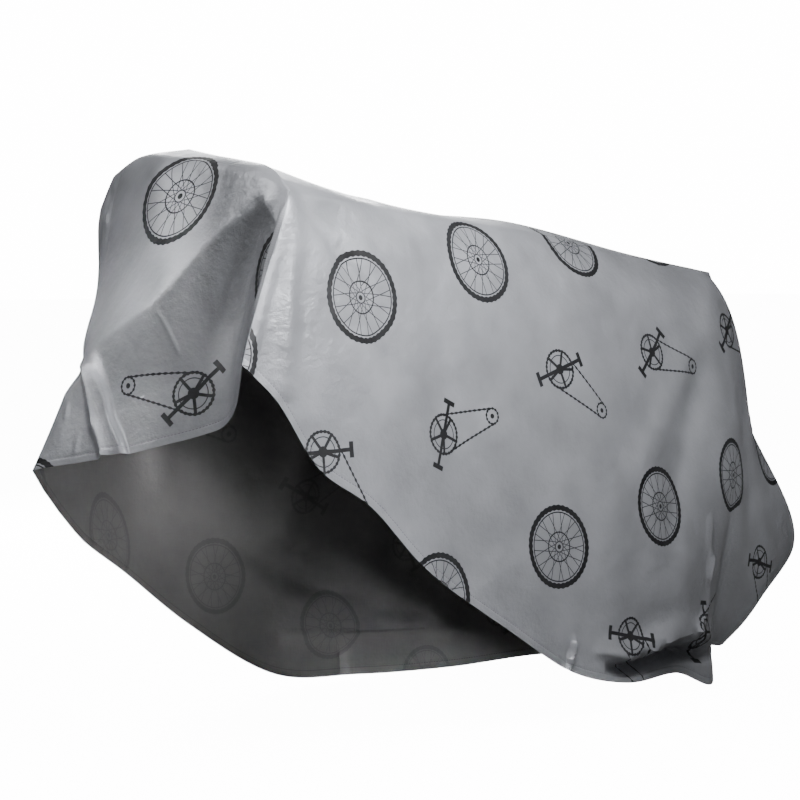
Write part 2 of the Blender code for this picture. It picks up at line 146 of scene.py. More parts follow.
# The main folds, each a line on the film from one place by way of another to a third. `depth` is how far
# the film stands out (or in, below 0) along the line, and `half` is how far from it the fold dies away. A
# `sharp` of 0 is a soft roll and 1 an edged crease with straight flanks. `lap` is 1 where the film laps
# over itself and drops steeply on the line's left, seen from outside, and -1 where it does on the right.
FOLDS = (
    # name, from at, level, by at, level, to at, level, half, depth, sharp, lap
    ("front diagonal", 2.995, 1.10, 2.600, 1.82, 2.025, 2.45, 0.150, 0.034, 1.0, 0),
    ("front valley", 2.935, 1.32, 2.810, 1.95, 2.712, 4.00, 0.050, -0.010, 0.0, 0),
    ("front pleat", 2.020, 2.44, 2.215, 2.88, 2.370, 4.00, 0.050, 0.018, 1.0, -1),
    ("front pleat fold", 2.120, 2.50, 2.325, 2.94, 2.460, 4.00, 0.028, 0.010, 1.0, 1),
    ("behind the bar", 0.050, 0.50, 0.135, 0.60, 0.220, 0.70, 0.070, -0.014, 0.0, 0),
    ("near crease", 0.020, 1.15, 0.110, 1.42, 0.195, 1.66, 0.016, -0.007, 0.6, 0),
    ("near crease top", 0.010, 1.05, 0.120, 1.15, 0.230, 1.25, 0.035, -0.008, 0.0, 0),
    ("tail upright", 0.840, 2.25, 0.847, 2.53, 0.853, 2.80, 0.018, 0.012, 1.0, 1),
    ("tail slant", 0.853, 2.80, 0.822, 2.92, 0.786, 2.98, 0.018, 0.010, 0.9, 1),
    ("near hem crease", 0.559, 3.10, 0.555, 3.55, 0.547, 4.00, 0.016, 0.010, 0.9, -1),
    ("brim", 0.600, 3.20, 0.730, 2.92, 0.870, 3.00, 0.050, 0.024, 1.0, -1),
    ("brim undercut", 0.625, 3.55, 0.745, 3.25, 0.885, 3.28, 0.024, -0.050, 0.5, 0),
    ("corner nick", 1.940, 2.35, 2.005, 2.48, 2.070, 2.62, 0.045, -0.014, 0.0, 0),
    ("far slack upper", 1.780, 2.62, 1.600, 2.78, 1.400, 2.98, 0.035, 0.018, 0.5, 0),
    ("far slack lower", 1.700, 3.00, 1.520, 3.01, 1.340, 3.02, 0.035, -0.020, 0.0, 0),
    ("far tuck", 1.590, 3.30, 1.588, 3.65, 1.586, 4.00, 0.014, 0.012, 0.6, 0),
    ("far drape front", 1.900, 1.30, 1.885, 2.00, 1.870, 2.70, 0.060, -0.018, 0.0, 0),
    ("far drape middle", 1.620, 1.20, 1.660, 1.90, 1.700, 2.60, 0.070, -0.022, 0.0, 0),
    ("far drape rise", 1.480, 1.30, 1.490, 2.05, 1.500, 2.80, 0.050, 0.012, 0.0, 0),
    ("far drape back", 1.320, 1.20, 1.285, 2.10, 1.250, 3.00, 0.070, -0.022, 0.0, 0),
    ("far tail crease", 1.060, 1.10, 1.100, 1.85, 1.140, 2.60, 0.040, 0.012, 0.3, 0),
    ("near sag", 0.300, 1.30, 0.350, 2.25, 0.400, 3.20, 0.120, -0.010, 0.0, 0),
    ("near swell", 0.560, 1.40, 0.620, 2.10, 0.680, 2.80, 0.120, 0.008, 0.0, 0),
)

# The finer creases of the film, in the same columns as the main folds.
CREASES = (
    ("seam hollow", 2.955, 1.30, 2.860, 2.10, 2.800, 4.00, 0.055, -0.016, 0.0, 0),
    ("seam roll", 0.010, 1.00, 0.010, 2.50, 0.010, 4.00, 0.012, 0.003, 0.0, 0),
    ("pleat top", 2.010, 2.46, 2.080, 2.50, 2.150, 2.54, 0.012, 0.004, 0.8, 0),
    ("grip crease", 2.110, 1.04, 2.075, 1.30, 2.055, 1.66, 0.016, -0.006, 0.4, 0),
    ("grip crumple upper", 2.000, 1.12, 2.030, 1.20, 2.075, 1.22, 0.016, -0.007, 0.6, 0),
    ("grip crumple middle", 1.995, 1.30, 2.025, 1.37, 2.060, 1.40, 0.014, 0.006, 0.6, 1),
    ("grip crumple lower", 1.995, 1.52, 2.020, 1.50, 2.055, 1.44, 0.014, -0.006, 0.6, 0),
    ("front short crease", 2.500, 2.00, 2.570, 2.25, 2.630, 2.50, 0.008, 0.003, 0.8, 1),
    ("front low crease", 2.690, 3.20, 2.688, 3.45, 2.685, 3.70, 0.008, 0.0015, 0.8, 0),
    ("pleat side crease", 2.043, 2.80, 2.060, 2.88, 2.080, 2.96, 0.010, 0.002, 0.8, 0),
    ("corner low crease", 2.180, 3.20, 2.190, 3.50, 2.200, 3.80, 0.010, 0.002, 0.8, 0),
    ("fan crease front", 0.016, 1.06, 0.045, 2.00, 0.080, 3.30, 0.030, 0.007, 0.2, 0),
    ("fan crease middle", 0.060, 1.10, 0.180, 1.75, 0.300, 2.50, 0.048, -0.008, 0.0, 0),
    ("fan crease back", 0.120, 1.05, 0.320, 1.50, 0.520, 2.00, 0.055, 0.007, 0.0, 0),
    ("saddle crease", 0.960, 1.08, 0.820, 1.60, 0.620, 2.30, 0.055, 0.007, 0.0, 0),
    ("saddle hollow", 0.900, 1.20, 0.800, 1.95, 0.720, 2.80, 0.060, -0.007, 0.0, 0),
    ("hem sway", 0.430, 2.60, 0.500, 3.10, 0.550, 3.60, 0.045, 0.007, 0.0, 0),
    ("hem pucker one", 0.232, 3.30, 0.238, 3.55, 0.244, 3.80, 0.009, 0.003, 0.7, 0),
    ("hem pucker two", 0.262, 3.30, 0.264, 3.55, 0.268, 3.80, 0.009, 0.003, 0.7, 0),
    ("hem pucker three", 0.290, 3.20, 0.292, 3.45, 0.294, 3.70, 0.010, 0.003, 0.7, 0),
    ("shoulder crease", 0.564, 1.10, 0.590, 1.15, 0.621, 1.20, 0.012, -0.004, 0.6, 0),
    ("tail upper crease", 0.964, 1.80, 0.980, 2.00, 1.000, 2.20, 0.012, 0.004, 0.5, 0),
    ("tail slant edge", 0.858, 2.74, 0.822, 2.91, 0.780, 3.00, 0.014, 0.009, 1.0, 1),
    ("brim edge", 0.630, 3.13, 0.735, 2.94, 0.872, 3.02, 0.016, 0.007, 1.0, -1),
    ("hem crease edge", 0.560, 3.12, 0.556, 3.50, 0.550, 3.95, 0.012, 0.007, 1.0, -1),
    ("far slack edge", 1.700, 2.97, 1.550, 3.00, 1.400, 3.01, 0.018, 0.010, 0.8, 1),
    ("far middle crease", 1.715, 2.52, 1.665, 2.57, 1.600, 2.60, 0.016, 0.008, 0.8, 1),
)

# ---- the grid, the hem, the front weld and the flat pattern ----

NEAR_COLUMNS = 170  # columns along the near side, and as many along the far side
FRONT_COLUMNS = 140
ROWS = (14, 26, 36, 14)  # rows from ridge to shoulder, to waist, to sill and to hem
HEM_SHARES = (1.3, 1.15, 1.0, 0.85, 0.7, 0.35, 0.0)  # the last rows' distances from the edge, in hems
HEM_LEAD = 0.2  # and the row above them stands this much further off
GROOVE_HALF = 0.0022  # half width of the weld pressed along the top of the hem
GROOVE_DEPTH = 0.0004
HEM_LIFT = 0.0003  # a turned hem is two films thick, so it stands proud of the sheet
PATTERN_SIDE = 36  # columns of the flat pattern along a side
PATTERN_FRONT = 18
PATTERN_ROWS = (3, 6, 8, 3)
SHARP_ANGLE = math.radians(50)  # faces that meet at more than this are shaded with an edge between them
WELD_LEVEL = 1.0  # the front weld starts at the shoulder
WELD_RISE = 0.35  # and grows to its full width over this much of a level
WELD_LEAN = math.radians(28)  # how far the weld stands off the front film that it is laid over
WELD_THICKNESS = 0.0012
WELD_ROOT = 0.0015  # the weld starts this far inside the seam, so that no gap shows
WELD_OVER, WELD_FACING = -3, -2  # the front's columns that it is laid towards and that it leans off
WELD_PROFILE = (
    # share of the width, share of half the thickness
    (0, 1), (0.33, 1), (0.66, 1), (0.95, 0.7), (1, 0), (0.95, -0.7), (0.66, -1), (0.33, -1), (0, -1),
)

# ---- the stage ----

WHITE = (1, 1, 1, 1)
FLOOR_REACH = 60.0
FLOOR_ROUGHNESS = 0.9
FLOOR_GLOW = 14.0  # the floor that the camera sees is lit from behind, as a light table is
FLOOR_BOUNCE = (0.14, 0.14, 0.14, 1)  # and what it throws back on the film is flagged off
BACKDROP = 15.5  # brightness of the lit paper behind
FILL = {"To Min": 0.02, "To Max": 0.04}  # weakest and strongest light from around
FILL_WAY = (-0.35, -0.45, 0.82)  # and where the strongest comes from
CAMERA_PLACE = (-2.9766, -3.8448, 0.9080)
CAMERA_TURN = -36.0  # degrees from looking along +Y
CAMERA_DOWN = 3.235  # degrees below level
LENS = 103.5  # mm, on a sensor of
SENSOR = 36.0
LAMPS = (
    # name, place x y z, aimed at x y z, size, spread in degrees, power
    ("key softbox", (-0.35, -1.10, 1.45), (-0.1, -0.1, 0.8), 0.5, 180, 22.0),
    ("overhead softbox", (-0.2, -0.9, 2.4), (-0.3, 0.0, 0.8), 0.7, 180, 20.5),
    ("far softbox", (-1.6, 0.5, 2.3), (-0.6, 0.0, 0.8), 0.6, 180, 15.5),
    ("front fill", (-3.0, -1.8, 1.0), (-0.5, 0.0, 0.7), 1.0, 180, 6.5),
    ("right fill", (3.0, -2.6, 2.8), (0.5, 0.0, 0.7), 2.4, 180, 5.5),
    ("back light", (1.6, 3.6, 2.4), (0.1, 0.2, 0.5), 2.0, 180, 230.0),
    ("front accent", (-2.2, 0.9, 2.1), (-0.80, 0.0, 0.84), 0.2, 12, 0.30),
    ("tail accent", (0.7, -2.0, 1.1), (0.72, -0.19, 0.55), 0.3, 24, 0.26),
    ("inside softbox", (-0.45, -1.3, 0.06), (-0.68, 0.25, 0.27), 0.4, 38, 0.52),
    ("low accent", (-1.2, -3.4, 0.1), (0.0, 0.33, -0.14), 0.5, 8, 0.50),
    ("far wall accent", (-1.0, -3.5, 0.25), (-0.74, 0.22, 0.42), 0.6, 8, 0.34),
)

# ---- the print: spoked wheels and chain drives, one to a repeat ----

REPEAT_U = 0.30  # along the ridge
REPEAT_V = 0.34  # down the sides
HALF_DROP = 0.5  # each column stands this share of a repeat off the one before
TURN = 0.85  # the most that a figure is turned, in radians
TURN_STEP = 2.4  # radians of the turn's own wave from one row to the next
TYRE, TYRE_HALF = 0.080, 0.0055
KNOBS = 40.0
TOOTH_HEIGHT = 0.0007  # how far the knobs, the teeth and the chain's links stand out
RIM, RIM_HALF = 0.0705, 0.0013
HUB, HUB_RING = 0.0050, 0.0105
SPOKES, SPOKE_HALF = 13.0, 0.0008  # spokes that lean one way, and as many lean the other
DISC, DISC_HALF = 0.0300, 0.0014
RING_X, RING, RING_HALF, RING_TEETH = -0.060, 0.038, 0.0026, 28.0
RING_INNER, RING_ARMS, ARM_HALF = 0.028, 5.0, 0.0030
COG_X, COG, COG_HALF, COG_TEETH = 0.082, 0.0155, 0.0020, 12.0
CRANK_TURN, CRANK_LENGTH, CRANK_HALF = 0.95, 0.066, 0.0038
PEDAL_HALF, PEDAL_WIDTH = 0.0048, 0.015
CHAIN_HALF, LINK = 0.0019, 0.0125
LINE_HALF = 0.0010  # half width of the fine rings
PRINT_BLUR = 0.0007  # the ink's edge softens over this much
CHAIN_SLOPE = (RING - COG) / (COG_X - RING_X)
CHAIN_MIDDLE = (COG_X + RING_X) / 2
CHAIN_REACH = (COG_X - RING_X) / 2


def band(result, value, at, half):
    """Steps for the distance to a band's edge: |value - at| - half."""
    return (
        (result, "SUBTRACT", value, at),
        (result, "ABSOLUTE", result),
        (result, "SUBTRACT", result, half),
    )


def toothed(result, value, along, at, half, teeth):
    """Steps for a band with teeth: |value - at| - half - height sin(teeth along)."""
    return (
        *band(result, value, at, half),
        ("wave", "MULTIPLY", along, teeth),
        ("wave", "SINE", "wave"),
        (result, "MULTIPLY_ADD", "wave", -TOOTH_HEIGHT, result),
    )


def gear(figure, along, at, half, teeth):
    """Steps that begin a round figure with a toothed ring, and give the radius and angle of a place."""
    radius, angle = figure + " radius", figure + " angle"
    return (
        (radius, "MULTIPLY_ADD", along, along, "up squared"),
        (radius, "SQRT", radius),
        (angle, "ARCTAN2", "up", along),
        *toothed(figure, radius, angle, at, half, teeth),
    )


def ring(figure, at, half):
    """Steps that add a ring to a round figure."""
    return (*band("ring", figure + " radius", at, half), (figure, "MINIMUM", figure, "ring"))


def boss(figure, reach):
    """Steps that add a filled circle to a round figure: radius - reach."""
    return (("boss", "SUBTRACT", figure + " radius", reach), (figure, "MINIMUM", figure, "boss"))


def rays(figure, angle, count, half, limit):
    """Steps that add rays to a round figure: the arc to the nearest one - half, cut off by a limit."""
    return (
        ("ray", "MULTIPLY", angle, count / math.tau),
        ("ray", "FRACT", "ray"),
        ("ray", "SUBTRACT", "ray", 0.5),
        ("ray", "ABSOLUTE", "ray"),
        ("ray", "MULTIPLY", "ray", figure + " radius"),
        ("ray", "MULTIPLY_ADD", "ray", math.tau / count, -half),
        ("ray", "MAXIMUM", "ray", limit),
        (figure, "MINIMUM", figure, "ray"),
    )


# Each row works out one value with a Math node from earlier ones, from plain numbers and from u and v,
# the place on the flat pattern. A distance below 0 lies within a line, and where two lines of a figure
# meet the lower one counts.
PRINT_STEPS = (
    # result, operation, terms
    ("column", "DIVIDE", "u", REPEAT_U),
    ("column number", "FLOOR", "column"),
    ("x", "FRACT", "column"),
    ("x", "MULTIPLY_ADD", "x", REPEAT_U, -REPEAT_U / 2),
    ("row", "DIVIDE", "v", REPEAT_V),
    ("row", "MULTIPLY_ADD", "column number", HALF_DROP, "row"),
    ("row number", "FLOOR", "row"),
    ("y", "FRACT", "row"),
    ("y", "MULTIPLY_ADD", "y", REPEAT_V, -REPEAT_V / 2),
    # the kind of figure and its turn
    ("kind", "ADD", "column number", "row number"),
    ("kind", "FLOORED_MODULO", "kind", 2.0),
    ("turn", "MULTIPLY_ADD", "row number", TURN_STEP, "column number"),
    ("turn", "SINE", "turn"),
    ("turn", "MULTIPLY", "turn", TURN),
    ("cos", "COSINE", "turn"),
    ("sin", "SINE", "turn"),
    ("along", "MULTIPLY", "x", "cos"),
    ("along", "MULTIPLY_ADD", "y", "sin", "along"),
    ("up", "MULTIPLY", "x", "sin"),
    ("y cos", "MULTIPLY", "y", "cos"),
    ("up", "SUBTRACT", "y cos", "up"),
    ("up squared", "MULTIPLY", "up", "up"),
    # the wheel: a knobbed tyre, rim, brake disc, hub and two sets of spokes that leave the hub at a slant
    *gear("wheel", "along", TYRE, TYRE_HALF, KNOBS),
    *ring("wheel", RIM, RIM_HALF),
    *ring("wheel", DISC, DISC_HALF),
    *boss("wheel", HUB),
    *ring("wheel", HUB_RING, LINE_HALF),
    ("slant", "DIVIDE", HUB_RING, "wheel radius"),
    ("past rim", "SUBTRACT", "wheel radius", RIM),
    ("within hub", "SUBTRACT", HUB_RING, "wheel radius"),
    ("off spokes", "MAXIMUM", "past rim", "within hub"),
    ("fore", "ADD", "wheel angle", "slant"),
    *rays("wheel", "fore", SPOKES, SPOKE_HALF, "off spokes"),
    ("aft", "SUBTRACT", "wheel angle", "slant"),
    *rays("wheel", "aft", SPOKES, SPOKE_HALF, "off spokes"),
    # the drive: a toothed ring on five arms
    ("ring along", "SUBTRACT", "along", RING_X),
    *gear("drive", "ring along", RING, RING_HALF, RING_TEETH),
    *ring("drive", RING_INNER, LINE_HALF),
    ("past ring", "SUBTRACT", "drive radius", RING),
    *rays("drive", "drive angle", RING_ARMS, ARM_HALF, "past ring"),
    *boss("drive", HUB_RING),
    # its two cranks, in line, with a pedal across the end of each
    ("run", "MULTIPLY", "ring along", math.cos(CRANK_TURN)),
    ("run", "MULTIPLY_ADD", "up", math.sin(CRANK_TURN), "run"),
    ("run", "ABSOLUTE", "run"),
    ("side", "MULTIPLY", "ring along", math.sin(CRANK_TURN)),
    ("side", "MULTIPLY_ADD", "up", -math.cos(CRANK_TURN), "side"),
    ("side", "ABSOLUTE", "side"),
    ("crank", "SUBTRACT", "side", CRANK_HALF),
    ("end", "SUBTRACT", "run", CRANK_LENGTH),
    ("crank", "MAXIMUM", "crank", "end"),
    ("drive", "MINIMUM", "drive", "crank"),
    *band("pedal", "run", CRANK_LENGTH, PEDAL_HALF),
    ("pedal end", "SUBTRACT", "side", PEDAL_WIDTH),
    ("pedal", "MAXIMUM", "pedal", "pedal end"),
    ("drive", "MINIMUM", "drive", "pedal"),
    # the cog behind it, and the chain's two straight runs between them
    ("cog along", "SUBTRACT", "along", COG_X),
    *gear("cog", "cog along", COG, COG_HALF, COG_TEETH),
    *boss("cog", HUB),
    ("drive", "MINIMUM", "drive", "cog"),
    ("off run", "ABSOLUTE", "up"),
    ("off run", "MULTIPLY_ADD", "ring along", CHAIN_SLOPE, "off run"),
    *toothed("chain", "off run", "along", RING, CHAIN_HALF, math.tau / LINK),
    *band("past chain", "along", CHAIN_MIDDLE, CHAIN_REACH),
    ("chain", "MAXIMUM", "chain", "past chain"),
    ("drive", "MINIMUM", "drive", "chain"),
    # one or the other, as ink from 0 to 1
    ("figure", "SUBTRACT", "drive", "wheel"),
    ("figure", "MULTIPLY_ADD", "kind", "figure", "wheel"),
    ("ink", "MULTIPLY_ADD", "figure", -1 / PRINT_BLUR, 0.5),
    ("ink", "MAXIMUM", "ink", 0.0),
    ("ink", "MINIMUM", "ink", 1.0),
)


def curve(points, places, values, crease=0, closed=False):
    """A smooth curve through points, read at values of the numbers that say where each point lies.

    Each span is a cubic Hermite piece, h00 P0 + h10 w T0 + h01 P1 + h11 w T1, with w the length of its
    chord, or the mean over the levels where the curves are closed. A tangent T is the mean of the two
    chords' directions, each weighted by the other's length, and `crease` turns it towards the span's own
    chord, so that 1 makes a sharp corner there.
    """
    chords = np.diff(points, axis=0)
    lengths = np.linalg.norm(chords, axis=-1, keepdims=True)
    if closed:
        lengths = lengths.mean(axis=-2, keepdims=True)
    lengths = np.maximum(lengths, SHORTEST_CHORD)
    chords = chords / lengths
    first, last = (chords[-1:], chords[:1]) if closed else (chords[:1], chords[-1:])
    before, after = np.concatenate([first, chords]), np.concatenate([chords, last])
    first, last = (lengths[-1:], lengths[:1]) if closed else (lengths[:1], lengths[-1:])
    length_before, length_after = np.concatenate([first, lengths]), np.concatenate([lengths, last])
    smooth = (before * length_after + after * length_before) / (length_before + length_after)
    shape = (-1,) + (1,) * (points.ndim - 1)
    sharp = np.broadcast_to(crease, len(points)).reshape(shape)
    leaving = smooth + (after - smooth) * sharp
    arriving = smooth + (before - smooth) * sharp
    span = np.clip(np.searchsorted(places, values, side="right") - 1, 0, len(places) - 2)
    t = ((values - places[span]) / (places[span + 1] - places[span])).reshape(shape)
    w = lengths[span]
    return (
        (2 * t**3 - 3 * t**2 + 1) * points[span]
        + (t**3 - 2 * t**2 + t) * w * leaving[span]
        + (3 * t**2 - 2 * t**3) * points[span + 1]
        + (t**3 - t**2) * w * arriving[span + 1]
    )


def unit(vectors):
    """Each vector, along the last axis, divided by its own length."""
    return vectors / np.linalg.norm(vectors, axis=-1, keepdims=True)


def run_along(points):
    """How far each point of a line of them lies from the first, along the line."""
    return np.append(0, np.cumsum(np.linalg.norm(np.diff(points, axis=0), axis=1)))


def column_places():
    """Where the columns stand, as `at`: the two sides mirror each other, so their ridge points meet."""
    side = np.linspace(0, 1, NEAR_COLUMNS + 1)
    front = np.linspace(2, 3, FRONT_COLUMNS + 1)[1:-1]
    return np.concatenate([side, 2 - side[-2::-1], front])


def ridge_index(columns):
    """Which ridge point each column starts from: the sides share them and the front has only the first."""
    side = int(np.argmin(abs(columns - 1)))
    index = np.arange(len(columns))
    return np.where(index <= side, index, np.maximum(2 * side - index, 0))


def row_places(rows):
    """Levels of the rows, from 0 at the ridge to 4 at the hem."""
    parts = [np.linspace(level, level + 1, count, endpoint=False) for level, count in enumerate(rows)]
    return np.append(np.concatenate(parts), len(rows))


def outer_surface(columns, rows):
    """Points of the film's outer face, as an array of columns by rows by xyz."""
    at = np.array([rib[1] for rib in RIBS] + [3.0])
    crease = np.array([rib[2] for rib in RIBS] + [RIBS[0][2]])
    levels = np.array([rib[3:] for rib in RIBS] + [RIBS[0][3:]])
    below = curve(levels, at, columns, crease, closed=True)
    share = np.where(columns <= 1, columns, np.maximum(2 - columns, 0))
    ridge = np.array(RIDGE)
    run = run_along(ridge)
    top = curve(ridge, run / run[-1], share)
    knots = np.concatenate([top[:, None], below], axis=1)
    level = np.arange(len(LEVEL_CREASE), dtype=float)
    return curve(knots.transpose(1, 0, 2), level, rows, LEVEL_CREASE).transpose(1, 0, 2)


def read_grid(values, columns, rows, at, level, edge="right"):
    """Values of a grid at places between its columns and rows, by straight shares of the four around.

    Where a column stands twice, as at a cut, `edge` says which one counts: the later, or the earlier if
    it is "left".
    """
    c = np.clip(np.searchsorted(columns, at, side=edge) - 1, 0, len(columns) - 2)
    r = np.clip(np.searchsorted(rows, level, side="right") - 1, 0, len(rows) - 2)
    s = ((at - columns[c]) / (columns[c + 1] - columns[c]))[..., None]
    t = ((level - rows[r]) / (rows[r + 1] - rows[r]))[..., None]
    upper = values[c, r] * (1 - s) + values[c + 1, r] * s
    lower = values[c, r + 1] * (1 - s) + values[c + 1, r + 1] * s
    return upper * (1 - t) + lower * t


def folded(surface, columns, rows, facing, folds):
    """The surface moved along its normals by each fold.

    A fold's line is the parabola, in `at` and level, through its three places. With x the distance from
    the line / half, a soft profile is a bell curve in x and a sharp one (1 - x)^TENT_POWER, and on the
    steep side of a lap x is counted faster. Both taper to nothing at the ends, but not at the hem.
    """
    share = np.linspace(0, 1, FOLD_STEPS)[:, None]
    first, by, last = (1 - share) * (1 - 2 * share), 4 * share * (1 - share), share * (2 * share - 1)
    moved = surface.copy()
    for _, *places, half, depth, sharp, lap in folds:
        start, middle, end = np.array(places).reshape(3, 2)
        way = first * start + by * middle + last * end
        line = read_grid(surface, columns, rows, way[:, 0], way[:, 1])
        reach = (columns > way[:, 0].min() - FOLD_REACH) & (columns < way[:, 0].max() + FOLD_REACH)
        steps = np.diff(line, axis=0)
        to_point = surface[reach][:, :, None] - line[:-1]
        along = np.clip((to_point * steps).sum(-1) / (steps**2).sum(-1), 0, 1)
        off = to_point - along[..., None] * steps
        nearest = np.linalg.norm(off, axis=-1).argmin(-1)
        off = np.take_along_axis(off, nearest[..., None, None], -2)[..., 0, :]
        x = np.linalg.norm(off, axis=-1) / half
        left = (np.cross(steps[nearest], off) * facing[reach]).sum(-1) * lap > 0
        x = np.where(left, x / LAP_SQUEEZE, x)
        where = (nearest + np.take_along_axis(along, nearest[..., None], -1)[..., 0]) / len(steps)
        taper = np.sin(np.pi * np.clip(where, 0, 1)) ** FOLD_TAPER
        if end[1] >= rows[-1]:
            taper = np.where(where > MID_FOLD, 1, taper)
        tent = np.maximum(1 - x, 0) ** TENT_POWER
        profile = (1 - sharp) * np.exp(-SOFT_FADE * x**2) + sharp * tent
        moved[reach] += facing[reach] * (depth * profile * taper)[..., None]
    return moved


def normals(surface):
    """Unit normals of the closed grid: the cross product of the steps round the cover and down it."""
    around = np.roll(surface, -1, axis=0) - np.roll(surface, 1, axis=0)
    down = np.gradient(surface, axis=1)
    across = np.cross(down, around)
    across[:, 0] = (0, 0, 1)
    return unit(across)


def with_hem_rows(surface, rows, hem):
    """The grid read again down each column, with its last rows at set distances from the edge.

    The old rows are drawn up in proportion to end where the hem's own rows begin, and every new point is a
    straight share of the two old ones around it. Gives the points, their levels and their distances from
    the edge.
    """
    steps = np.linalg.norm(np.diff(surface, axis=1), axis=2)
    run = np.concatenate([np.zeros((len(surface), 1)), np.cumsum(steps, axis=1)], axis=1)
    total = run[:, -1:]
    above = run[:, :-1] * (total - hem * (HEM_SHARES[0] + HEM_LEAD)) / run[:, -2:-1]
    wanted = np.concatenate([above, total - hem * np.array(HEM_SHARES)], axis=1)
    index = np.clip((wanted[:, :, None] >= run[:, None, :]).sum(-1) - 1, 0, run.shape[1] - 2)
    start = np.take_along_axis(run, index, 1)
    share = (wanted - start) / (np.take_along_axis(run, index + 1, 1) - start)
    upper = np.take_along_axis(surface, index[..., None], 1)
    lower = np.take_along_axis(surface, index[..., None] + 1, 1)
    points = upper + (lower - upper) * share[..., None]
    return points, rows[index] + (rows[index + 1] - rows[index]) * share, total - wanted


def film_points(columns, sizes):
    """The points of the outer and inner faces, and each one's level and distance from the hem's edge."""
    rows = row_places(ROWS)
    outer = outer_surface(columns, rows)
    outer = folded(outer, columns, rows, normals(outer), FOLDS)
    outer = folded(outer, columns, rows, normals(outer), CREASES) - np.array(BASE_CENTRE)
    outer, level, hem_gap = with_hem_rows(outer, rows, sizes.hem_width)
    facing = normals(outer)
    turned = np.clip((sizes.hem_width - hem_gap) / GROOVE_HALF, 0, 1)
    groove = np.exp(-(((hem_gap - sizes.hem_width) / GROOVE_HALF) ** 2))
    outer += facing * (HEM_LIFT * turned - GROOVE_DEPTH * groove)[..., None]
    return outer, outer - facing * sizes.film, level, hem_gap


def film_triangles(index, points):
    """Two triangles for each quad between neighbouring columns, split along the shorter diagonal.

    Gives the points of each triangle, and its corners as places in two lists laid end to end: every point
    as the earlier column's, and every point of the column after it. At the ridge's front end two corners
    of a quad are one, and the triangle that has lost a side is dropped.
    """
    here = np.arange(index.size).reshape(index.shape)
    after = here + index.size
    numbers = np.concatenate([index, np.roll(index, -1, axis=0)]).ravel()
    a, b, c, d = here[:, :-1], here[:, 1:], after[:, 1:], after[:, :-1]
    p = points[numbers]
    down_first = np.linalg.norm(p[a] - p[c], axis=-1) < np.linalg.norm(p[b] - p[d], axis=-1)
    split = down_first[..., None]
    first = np.where(split, np.stack([a, b, c], axis=-1), np.stack([a, b, d], axis=-1))
    second = np.where(split, np.stack([a, c, d], axis=-1), np.stack([b, c, d], axis=-1))
    corners = np.concatenate([first, second]).reshape(-1, 3)
    triangles = numbers[corners]
    whole = (triangles != np.roll(triangles, 1, axis=1)).all(axis=1)
    return triangles[whole], corners[whole]


def new_object(name, data):
    """Makes an object of a mesh, light or camera, in the scene."""
    made = bpy.data.objects.new(name, data)
    bpy.context.scene.collection.objects.link(made)
    return made


def flat_pattern():
    """The film laid flat: a place in metres for each crossing of its columns and rows, and those two.

    A coarse copy of the outer face is cut open up the front seam and up the tail, and unwrapped with its
    angles kept. It is then scaled to the film's own area and turned so that the ridge runs along u.
    """
    side = np.linspace(0, 1, PATTERN_SIDE + 1)
    columns = np.concatenate([side, 1 + side, np.linspace(2, 3, PATTERN_FRONT + 1)[1:]])
    rows = row_places(PATTERN_ROWS)
    surface = outer_surface(np.minimum(columns, 3 - SHORTEST_CHORD), rows)
    ridge = np.arange(PATTERN_SIDE + 1)
    start = np.concatenate([ridge, ridge[::-1], np.zeros(PATTERN_FRONT, int)])
    below = np.arange(len(columns) * (len(rows) - 1)).reshape(len(columns), -1) + PATTERN_SIDE + 1
    index = np.concatenate([start[:, None], below], axis=1)
    points = np.zeros((index.max() + 1, 3))
    points[index] = surface
    joined = np.arange(len(columns) - 1) != PATTERN_SIDE
    left, right = index[:-1][joined], index[1:][joined]
    quads = np.stack([left[:, :-1], left[:, 1:], right[:, 1:], right[:, :-1]], axis=-1).reshape(-1, 4)
    mesh = bpy.data.meshes.new("flat pattern")
    mesh.from_pydata(points.tolist(), [], [list(dict.fromkeys(quad)) for quad in quads.tolist()])
    pattern = new_object("flat pattern", mesh)
    mesh.uv_layers.new(name="flat")
    bpy.context.view_layer.objects.active = pattern
    pattern.select_set(True)
    bpy.ops.object.mode_set(mode="EDIT")
    bpy.ops.mesh.select_all(action="SELECT")
    bpy.ops.uv.unwrap(method="CONFORMAL", margin=0)
    bpy.ops.object.mode_set(mode="OBJECT")
    loop_uv = np.zeros(len(mesh.loops) * 2, np.float32)
    mesh.uv_layers["flat"].data.foreach_get("uv", loop_uv)
    corner = np.zeros(len(mesh.loops), np.int32)
    mesh.loops.foreach_get("vertex_index", corner)
    flat = np.zeros((len(points), 2))
    flat[corner] = loop_uv.reshape(-1, 2)
    bpy.data.objects.remove(pattern)
    bpy.data.meshes.remove(mesh)
    u_way = unit(flat[PATTERN_SIDE] - flat[0])
    turned = (flat - flat[0]) @ np.array([[u_way[0], -u_way[1]], [u_way[1], u_way[0]]])
    fan = points[quads[:, 1:]] - points[quads[:, :1]]
    flat_fan = turned[quads[:, 1:]] - turned[quads[:, :1]]
    area = np.linalg.norm(np.cross(fan[:, :-1], fan[:, 1:]), axis=-1).sum()
    flat_area = abs(np.cross(flat_fan[:, :-1], flat_fan[:, 1:])).sum()
    return (turned * math.sqrt(area / flat_area))[index], columns, rows


